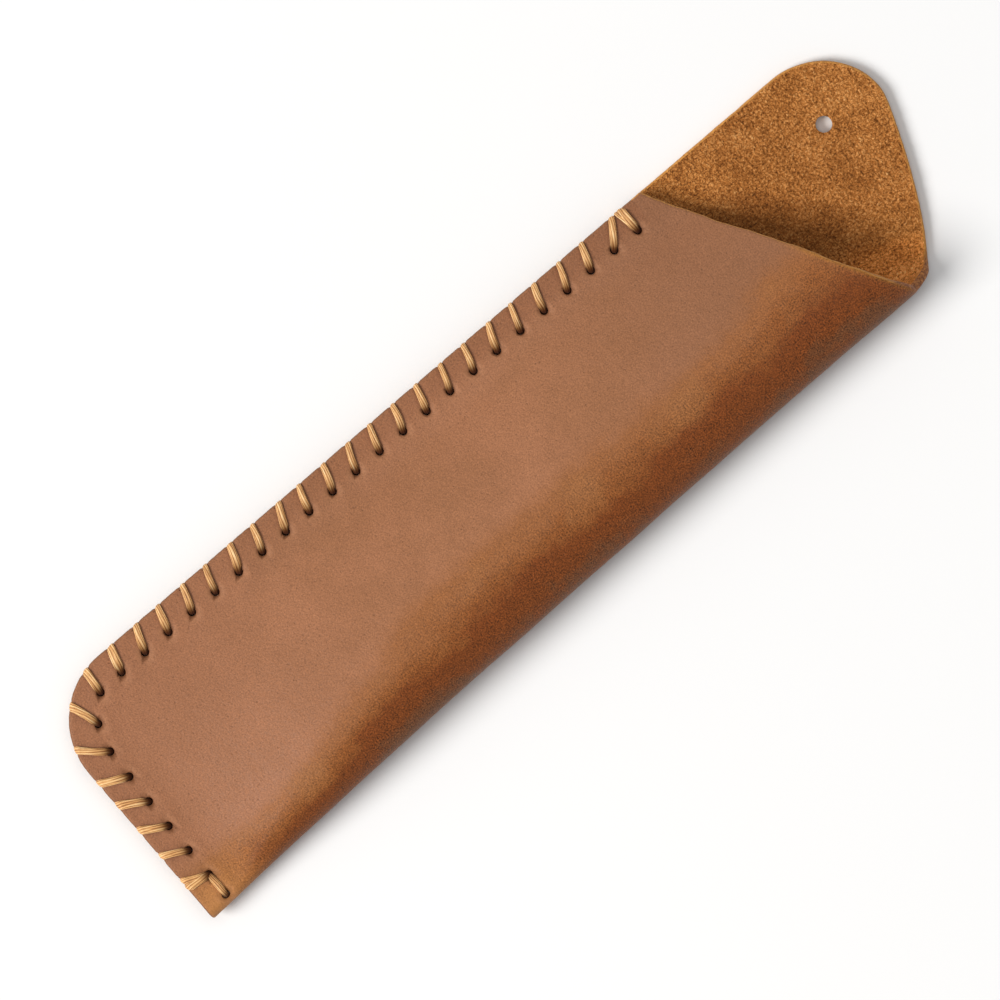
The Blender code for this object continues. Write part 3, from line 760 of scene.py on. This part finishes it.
def edge_material():
    g = Graph("cut_leather_edge")
    v = g.attr("blank", "Vector")
    fibre = g.noise(g.vmul(v, (1.0, 1.0, 2.2)), 0.4, 4.0, 0.7, 0.5)
    base = g.ramp(fibre, [(0.25, lin(136, 82, 34)), (0.5, lin(198, 134, 60)), (0.75, lin(230, 168, 84))])
    base = g.blend(g.mul(g.attr("seamed"), 0.88), base, (0.19, 0.070, 0.028))
    nap = g.ramp(g.noise(v, 0.45, 3.0, 0.7), [(0.34, lin(88, 44, 18)), (0.50, lin(150, 88, 40)), (0.66, lin(205, 138, 74))])
    base = g.blend(g.attr("knob"), base, nap)
    normal = g.bump(fibre, 0.8, 0.00025)
    return g.surface(base, 0.9, normal, specular=0.2, sheen=0.15)


def hole_material():
    g = Graph("stitch_hole_wall")
    v = g.attr("blank", "Vector")
    fibre = g.noise(v, 0.3, 3.0, 0.7)
    base = g.ramp(fibre, [(0.3, lin(76, 38, 18)), (0.7, lin(138, 82, 42))])
    return g.surface(base, 1.0, g.bump(fibre, 0.6, 0.0002), specular=0.02)


def thread_material():
    g = Graph("waxed_thread")
    v = g.attr("strand", "Vector")          # x: round the strand, y: mm along it, z: stitch number
    rib_shade_and_tone, deep = g.attr("rib_shade_and_tone"), g.attr("deep")
    fine = g.noise(g.vmul(v, (7.0, 0.35, 1.7)), 1.0, 3.0, 0.65)
    slow = g.noise(g.vmul(v, (0.6, 0.35, 3.1)), 1.0, 2.0)
    # painted shade in the valleys between filaments and painted highlight on their tops, mixed with each filament's
    # own tone
    tone = g.add(g.mul(rib_shade_and_tone, 0.80), g.mul(g.add(fine, -0.5), 1.05))
    tone = g.add(tone, g.mul(g.add(slow, -0.5), 0.45))
    base = g.ramp(g.remap(tone, -0.05, 1.0, smooth=False),
                  [(0.0, lin(92, 50, 20)), (0.30, lin(160, 102, 50)), (0.58, lin(222, 164, 98)),
                   (0.80, lin(242, 198, 138)), (1.0, lin(253, 228, 180))])
    # painted shade: the thread darkens where it dives into a stitch hole
    base = g.blend(g.remap(deep, 0.0, 1.0, smooth=False), base, lin(72, 35, 13))
    normal = g.bump(fine, 0.6, 0.00018)
    gloss = g.mul(g.add(1.0, g.mul(deep, -1.15), clamp=True), 0.45)
    return g.surface(base, g.add(g.mul(deep, 0.45), 0.45), normal, specular=gloss, sheen=0.04)


# ------------------------------------------------------------------ the leather blank
GRAIN, SUEDE, EDGE, HOLE = grain_material(), suede_material(), edge_material(), hole_material()
STRETCHES = (("front_margin", 12), ("front_rise", 30), ("crest", 24), ("belly", 16),
             ("back_flat", 52), ("back_rise", 8), ("back_margin", 12))
ROWS = 300


def settle(edge, name, t, guess):
    y = guess
    for _ in range(30):
        x, _z = section(name, t, y)
        y = float(edge(float(x)))
    return y


def seam_corner():
    """Where the seam meets the flap's right-hand outline."""
    x = 32.0
    for _ in range(60):
        x -= (float(crease_y(x, SEAM_OUT)) - float(flap_y(x, EDGE_R))) * 0.4
    return x


def sleeve_sheet():
    cols = [("front_margin", 0.0)]
    for name, count in STRETCHES:
        cols += [(name, k / count) for k in range(1, count + 1)]
    corner_x = seam_corner()
    corner_y = float(crease_y(corner_x, SEAM_OUT))
    belly_x = float(section("back_flat", 0.0, corner_y)[0])
    corner_t = (belly_x - corner_x) / (belly_x - (MARGIN + 5.0))
    at = min(range(len(cols)), key=lambda k: abs(cols[k][1] - corner_t) if cols[k][0] == "back_flat" else 9)
    cols[at] = ("back_flat", corner_t)
    table_y = np.linspace(0, 172, 87)
    pts = np.array([np.stack(section(name, t, table_y), axis=-1) for name, t in cols])     # K x T x 2
    arc = np.zeros(pts.shape[:2])
    arc[1:] = np.cumsum(np.linalg.norm(np.diff(pts, axis=0), axis=2), axis=0)
    edge_at = sum(count for name, count in STRETCHES[:3])
    bend_at = arc - arc[edge_at]                 # distance from the fold's outermost line
    arc = arc[-1] - arc                          # distance from the back's stitched edge
    v = np.linspace(0, 1, ROWS + 1)
    v = np.where(v < 0.62, v * 0.75 / 0.62, 0.75 + (v - 0.62) * 0.25 / 0.38)   # closer rows towards the mouth
    P, B, F, M, D = [], [], [], [], []
    for k, (name, t) in enumerate(cols):
        low = max(settle(lambda x: bottom_y(x, INSET), name, t, 0.0), INSET)
        if name in ("front_margin", "front_rise", "crest"):
            high = settle(lambda x: mouth_y(x) + cut_wobble(x) - EDGE_R * 1.16, name, t, 150.0)
            seam = False
        elif name == "belly":
            first = settle(lambda x: mouth_y(x) + cut_wobble(x) - EDGE_R * 1.16, "crest", 1.0, 158.0)
            turn = min(t / FOLD_CUT_TURN, 1.0)
            share = mix(float(ease(turn)), 1 - (1 - turn) ** 2, 0.6)
            high = settle(lambda x: mix(first, flap_y(x, EDGE_R), share), name, t, 160.0)
            seam = False
        elif k == at:
            high, seam = corner_y, True
        else:
            line = settle(lambda x: crease_y(x, SEAM_OUT), name, t, 150.0)
            rim = settle(lambda x: flap_y(x, EDGE_R), name, t, 150.0)
            high, seam = min(line, rim), line < rim
        y = mix(low, high, v)
        x, z = section(name, t, y)
        P.append(np.stack([x, y, z], axis=-1))
        B.append(np.stack([np.interp(y, table_y, arc[k]), y], axis=-1))
        F.append(np.full(len(v), 1.0 if name in ("front_margin", "front_rise", "crest") else 0.0))
        D.append(np.interp(y, table_y, bend_at[k]))
        m = np.zeros(len(v), bool)
        m[-1] = seam
        M.append(m)
    ends = {(at, ROWS): along_seam(corner_x, 1), (len(cols) - 1, ROWS): along_seam(0.0, -1)}
    return Sheet(np.array(P), np.array(B), np.array(F), np.array(D)), np.array(M), ends


def along_seam(x, sign):
    """Outward step at an end of the seam, along the seam, long enough to reach the rounded outline."""
    if sign > 0:
        slope = float(flap_y(x + 0.05) - flap_y(x - 0.05)) / 0.1
        normal = np.array((-slope, 1.0)) / math.hypot(slope, 1.0)
    else:
        normal = np.array((-1.0, 0.0))
    step = sign * crease_dir / abs(float(crease_dir @ normal))
    return np.array((*step, 0.0))


def flap_sheet():
    cols, rows = 140, 130
    corner_x = seam_corner()
    x_end = corner_x - 0.03
    t = np.linspace(0, 1, cols + 1)
    share = t
    bent = share ** 1.5 / (share ** 1.5 + (1 - share) ** 1.1)
    xs = INSET + (x_end - INSET) * mix(share, bent, 0.75)
    v = np.linspace(0, 1, rows + 1)
    low = crease_y(xs, SEAM_OUT)
    high = flap_y(xs, EDGE_R)
    y = low[:, None] + (high - low)[:, None] * v[None]
    x = np.repeat(xs[:, None], rows + 1, axis=1)
    P = np.stack([x, y, np.full_like(x, Z_REST)], axis=-1)[::-1]
    B = np.stack([x - INSET, y], axis=-1)[::-1]
    M = np.zeros(x.shape, bool)
    M[:, 0] = True
    ends = {(0, 0): along_seam(corner_x, 1), (cols, 0): along_seam(0.0, -1)}
    return Sheet(P, B, np.zeros(x.shape), (42.0 - x)[::-1]), M[::-1], ends


sheet_a, seam_a, ends_a = sleeve_sheet()
blank_body = closed_sheet("leather_sleeve", sheet_a, seam_a, ends_a)
for m in (GRAIN, SUEDE, EDGE, HOLE):
    blank_body.data.materials.append(m)
cut_round(blank_body, all_holes, HOLE_R, -1.0, 7.0)
finish_sheet(blank_body, sheet_a)

sheet_b, seam_b, ends_b = flap_sheet()
flap_piece = closed_sheet("leather_flap", sheet_b, seam_b, ends_b)
for m in (GRAIN, SUEDE, EDGE, HOLE):
    flap_piece.data.materials.append(m)
cut_round(flap_piece, [FLAP_HOLE[:2]], FLAP_HOLE[2], -2.0, 4.0, 64)
for p in flap_piece.data.polygons:
    if p.material_index == 3:
        p.material_index = 2
finish_sheet(flap_piece, sheet_b)


# ------------------------------------------------------------------ the waxed thread
RIBS = 9
AROUND = 54


def catmull(points, per):
    """Centripetal-like smooth curve through the points, `per` samples a span."""
    p = np.asarray(points, float)
    ends = np.vstack([2 * p[0] - p[1], p, 2 * p[-1] - p[-2]])
    out = []
    t = np.linspace(0, 1, per, endpoint=False)[:, None]
    for a, b, c, d in zip(ends, ends[1:], ends[2:], ends[3:]):
        out.append(0.5 * (2 * b + (c - a) * t + (2 * a - 5 * b + 4 * c - d) * t ** 2
                          + (3 * b - a - 3 * c + d) * t ** 3))
    out.append(p[-1:])
    return np.vstack(out)


def stitch_points(hole, cross, after, seed, shift=0.0, lift=0.0):
    """Control rows (x, y, z, half width, half thickness, width direction x, y, depth) of one wrap."""
    h, c = np.array(hole, float), np.array(cross, float)
    n = np.array(after, float)
    out, back = c - h, n - c
    reach = np.linalg.norm(out)
    out, back = out / np.linalg.norm(out), back / np.linalg.norm(back)
    wo, wb = np.array((-out[1], out[0])), np.array((-back[1], back[0]))
    if np.dot(wo, wb) < 0:
        wb = -wb
    edge = (wo + wb) / np.linalg.norm(wo + wb)
    r = np.random.default_rng(100 + seed)
    w = 0.62 * (1 + 0.09 * r.standard_normal())
    e = 0.86 if hole[0] < LEFT_X + 0.1 else 1.08          # spread at the cut edge: more along the closed end
    th = 0.27
    h = h + wo * shift * 0.25
    c = c + edge * shift
    jog = r.uniform(-0.14, 0.14)
    zt = Z_TOP + 0.17 + lift
    zu = Z_UNDER - 0.17 - lift
    rows_ = [
        (*(h + out * 0.02), 2.9, 0.66, 0.64, *wo, 1.0),
        (*(h + out * 0.05), Z_TOP - 0.95, 0.64, 0.60, *wo, 1.0),
        (*(h + out * 0.22), Z_TOP - 0.35 + lift, 0.54, 0.42, *wo, 1.0),
        (*(h + out * 0.62), Z_TOP - 0.02 + lift, 0.58, 0.34, *wo, 0.84),
        (*(h + out * 1.15 + wo * jog * 0.6), zt + 0.02, w * 1.02, th, *wo, 0.46),
        (*((h + c) / 2 + wo * jog), zt + 0.04, w * 0.98, th, *wo, 0.03),
        (*(c - out * 0.95 + wo * jog * 0.5), zt + 0.01, w * mix(0.94, e, 0.6), th, *wo, 0.0),
        (*(c - out * 0.40), zt - 0.08, w * e, th, *edge, 0.0),
        (*(c - out * 0.03), Z_TOP - 0.24, w * e, th, *edge, 0.0),
        (*c, Z_TOP - 0.85, w * e, th, *edge, 0.05),
        (*c, (Z_TOP + Z_UNDER) / 2, w * e, th, *edge, 0.15),
        (*c, Z_UNDER + 0.85, w * e, th, *edge, 0.05),
        (*(c + back * 0.03), Z_UNDER + 0.24, w * e, th, *edge, 0.0),
        (*(c + back * 0.40), zu + 0.08, w * mix(0.90, e, 0.6), th, *edge, 0.0),
        (*(c + back * 0.95 - wb * jog * 0.5), zu - 0.01, w * 0.92, th, *wb, 0.0),
        (*((c + n) / 2 - wb * jog), zu - 0.04, w * 0.98, th, *wb, 0.0),
        (*(n - back * 1.15), zu - 0.02, w * 1.02, th, *wb, 0.30),
        (*(n - back * 0.62), Z_UNDER - 0.02 - lift, 0.58, 0.34, *wb, 0.70),
        (*(n - back * 0.22), Z_UNDER + 0.35, 0.54, 0.42, *wb, 0.85),
        (*(n - back * 0.05), Z_UNDER + 0.95, 0.64, 0.60, *wb, 1.0),
    ]
    return rows_


def sweep_strands(name, strands):
    """Ribbed flat strands swept along their control rows, as closed bodies in one mesh."""
    verts, faces, strand, rib_shade_and_tone_v, deep_v = [], [], [], [], []
    base = 0
    for number, rows_ in enumerate(strands):
        rows_ = np.array(rows_)
        for i in range(1, len(rows_)):                       # keep the width direction from flipping
            if np.dot(rows_[i, 5:7], rows_[i - 1, 5:7]) < 0:
                rows_[i, 5:7] *= -1
        fine = catmull(rows_, 4)
        p, wv, tv, side = fine[:, :3], fine[:, 3], fine[:, 4], fine[:, 5:7]
        side = np.c_[side, np.zeros(len(side))]
        tangent = np.gradient(p, axis=0)
        tangent /= np.linalg.norm(tangent, axis=1, keepdims=True) + 1e-9
        side -= tangent * np.einsum("ij,ij->i", side, tangent)[:, None]
        side /= np.linalg.norm(side, axis=1, keepdims=True) + 1e-9
        up = np.cross(tangent, side)
        length = np.r_[0, np.cumsum(np.linalg.norm(np.diff(p, axis=0), axis=1))]
        phi = np.linspace(0, 2 * math.pi, AROUND, endpoint=False)
        r = np.random.default_rng(500 + number)
        starts = r.uniform(0, 6.28, 4)
        twist = length * (1.0 + 0.35 * math.sin(number * 2.1)) + starts[0]
        wander = 0.5 * np.sin(length * 0.9 + starts[1])
        turn = RIBS * phi[None] + (twist + wander)[:, None]
        ribs = np.abs(np.sin(turn / 2)) ** 0.8                     # round filaments with sharp valleys
        which = np.floor(turn / (2 * math.pi)) % RIBS
        shade = np.sin(which * 2.4 + starts[2] + 0.6 * np.sin(length * 0.8 + starts[3])[:, None]) * 0.5 + 0.5
        big = 0.07 * np.sin(2 * phi[None] + (0.6 * length + starts[3])[:, None]) \
            + 0.05 * np.sin(3 * phi[None] - (1.1 * length + starts[1])[:, None])
        grain = 0.26 * (ribs - 0.72) + 0.05 * (shade - 0.5) + big
        fade = 1 - 0.5 * np.clip(fine[:, 7], 0, 1)[:, None]
        grain = grain * fade
        cw = np.sign(np.cos(phi)) * np.abs(np.cos(phi)) ** 0.9
        sw = np.sign(np.sin(phi)) * np.abs(np.sin(phi)) ** 0.9
        ring = (p[:, None] + side[:, None] * (wv[:, None] * cw[None] * (1 + 0.55 * grain))[..., None]
                + up[:, None] * (tv[:, None] * sw[None] * (1 + grain))[..., None])
        L = len(p)
        verts.append(ring.reshape(-1, 3))
        strand.append(np.stack([np.repeat(phi[None] / (2 * math.pi) * 6, L, 0),
                                np.repeat(length[:, None], AROUND, 1),
                                np.full((L, AROUND), float(number))], axis=-1).reshape(-1, 3))
        # the filament profile for painted shade and highlight, mixed with each filament's own tone
        rib_shade_and_tone_v.append(np.clip(ribs * 0.75 + shade * 0.25, 0, 1).ravel())
        # deep: how far the thread has gone into a hole, painted as shade by the thread material
        deep_v.append(np.repeat(np.clip(fine[:, 7], 0, 1)[:, None], AROUND, 1).ravel())
        idx = base + np.arange(L * AROUND).reshape(L, AROUND)
        a, b = idx[:-1], idx[1:]
        faces += np.stack([a, np.roll(a, -1, 1), np.roll(b, -1, 1), b], axis=-1).reshape(-1, 4).tolist()
        faces.append(idx[0][::-1].tolist())
        faces.append(idx[-1].tolist())
        base += L * AROUND
    mesh = bpy.data.meshes.new(name)
    mesh.from_pydata(place(np.vstack(verts)).tolist(), [], faces)
    mesh.update()
    vec = mesh.attributes.new("strand", "FLOAT_VECTOR", "POINT")
    vec.data.foreach_set("vector", np.vstack(strand).astype(np.float32).ravel())
    for key, value in (("rib_shade_and_tone", np.concatenate(rib_shade_and_tone_v)), ("deep", np.concatenate(deep_v))):
        attribute = mesh.attributes.new(key, "FLOAT", "POINT")
        attribute.data.foreach_set("value", value.astype(np.float32))
    bm = bmesh.new()
    bm.from_mesh(mesh)
    bmesh.ops.recalc_face_normals(bm, faces=bm.faces)
    bm.to_mesh(mesh)
    bm.free()
    mesh.shade_smooth()
    obj = bpy.data.objects.new(name, mesh)
    bpy.context.scene.collection.objects.link(obj)
    return obj


# the long run, from the fold-side hole to the mouth, and short second strands at both ends
first = stops[0]
fh = np.array(FOLD_HOLE)
lead = [
    (fh[0] - 1.6, fh[1], Z_UNDER - 0.05, 0.50, 0.28, 0, 1, 0.3),
    (fh[0] - 0.35, fh[1], Z_UNDER - 0.12, 0.50, 0.28, 0, 1, 0.3),
    (fh[0] - 0.05, fh[1], Z_UNDER + 0.7, 0.60, 0.56, 0, 1, 1.0),
    (fh[0], fh[1], 3.0, 0.64, 0.62, 0, 1, 1.0),
    (fh[0] - 0.04, fh[1], Z_TOP - 0.75, 0.62, 0.58, 0, 1, 1.0),
    (fh[0] - 0.25, fh[1], Z_TOP + 0.02, 0.48, 0.34, 0, 1, 0.8),
    (fh[0] - 0.9, fh[1] - 0.05, Z_TOP + 0.18, 0.52, 0.29, 0, 1, 0.1),
    (first[0] + 2.2, first[1] + 0.0, Z_TOP + 0.20, 0.58, 0.29, 0, 1, 0.0),
    (first[0] + 1.0, first[1] - 0.02, Z_TOP + 0.15, 0.52, 0.29, 0, 1, 0.2),
    (first[0] + 0.35, first[1], Z_TOP - 0.10, 0.45, 0.32, 0, 1, 0.7),
    (first[0] + 0.2, first[1], Z_TOP - 0.7, 0.38, 0.32, 0, 1, 1.0),
]
strands = [lead]
# each wrap is its own sweep with its ends inside the holes, so that the ribs stay crisp
for k, hole in enumerate(stops):
    after = stops[k + 1] if k + 1 < len(stops) else stops[-2]
    rows_ = stitch_points(hole, crossings[k], after, k)
    rows_.append((after[0], after[1], 2.6, 0.60, 0.56, *rows_[-1][5:7], 1.0))
    strands.append(rows_)
top, under_top = stops[-1], stops[-2]
rows_ = stitch_points(top, (crossings[-1][0], crossings[-1][1] + 0.80), under_top, 61, 0.0, 0.10)
rows_.append((under_top[0], under_top[1], 2.6, 0.40, 0.36, *rows_[-1][5:7], 1.0))
strands.append(rows_)
rows_ = stitch_points(first, (crossings[0][0] + 1.45, crossings[0][1]), stops[1], 63, 0.0, 0.10)
rows_.append((stops[1][0], stops[1][1], 2.6, 0.40, 0.36, *rows_[-1][5:7], 1.0))
strands.append(rows_)
stitching = sweep_strands("waxed_stitching", strands)
stitching.data.materials.append(thread_material())


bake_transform(blank_body)
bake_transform(flap_piece)
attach(stitching, "case_body")
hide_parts("sleeve", "flap_neck")
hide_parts("flap_tongue")
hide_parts("stitching_thread")

# ------------------------------------------------------------------ stage, light, camera
g = Graph("pale_floor")
v = g.t.nodes.new("ShaderNodeTexCoord").outputs["Object"]
floor_colour = g.blend(g.noise(v, 0.3, 2.0), (0.86, 0.86, 0.86), (0.88, 0.88, 0.88))
g.surface(floor_colour, 0.9, specular=0.1)
bpy.ops.mesh.primitive_plane_add(size=6.0, location=(0, 0, -0.0004))
floor = bpy.context.object
floor.name = "floor"
floor.data.materials.append(g.mat)

centre = Vector(place((23.97, 81.79, 0.0)))
right = Vector((0.6504, 0.7596, 0.0))
up = Vector((-0.7596, 0.6504, 0.0))
camera_data = bpy.data.cameras.new("camera")
camera = bpy.data.objects.new("camera", camera_data)
bpy.context.scene.collection.objects.link(camera)
distance = 3.0
camera_data.lens = 36.0 * (distance - 0.005) / 0.16648
camera_data.sensor_width = 36.0
camera_data.clip_start, camera_data.clip_end = 0.01, 20.0
camera.matrix_world = Matrix((
    (right.x, up.x, 0.0, centre.x), (right.y, up.y, 0.0, centre.y), (0.0, 0.0, 1.0, distance), (0, 0, 0, 1)))
bpy.context.scene.camera = camera


def area(name, direction, dist, size, power, colour=(1, 1, 1)):
    data = bpy.data.lights.new(name, "AREA")
    data.shape = "DISK"
    data.size = size
    data.energy = power
    data.color = colour
    lamp = bpy.data.objects.new(name, data)
    bpy.context.scene.collection.objects.link(lamp)
    d = Vector(direction).normalized()
    lamp.location = centre + d * dist
    lamp.rotation_euler = (-d).to_track_quat("-Z", "Y").to_euler()
    lamp.visible_camera = False
    return lamp


left = -right
area("key", left * 1.02 - up * 0.40 + Vector((0, 0, 1.0)), 3.2, 1.7, 104.0, (1.0, 0.985, 0.965))
area("fill", Vector((0, 0, 1.0)) + up * 0.2, 3.4, 3.0, 22.0)
world = bpy.data.worlds.new("studio")
bpy.context.scene.world = world
world.use_nodes = True
world.node_tree.nodes["Background"].inputs[0].default_value = (1.0, 1.0, 1.0, 1.0)
world.node_tree.nodes["Background"].inputs[1].default_value = 0.36
bpy.context.scene.view_settings.view_transform = "Standard"
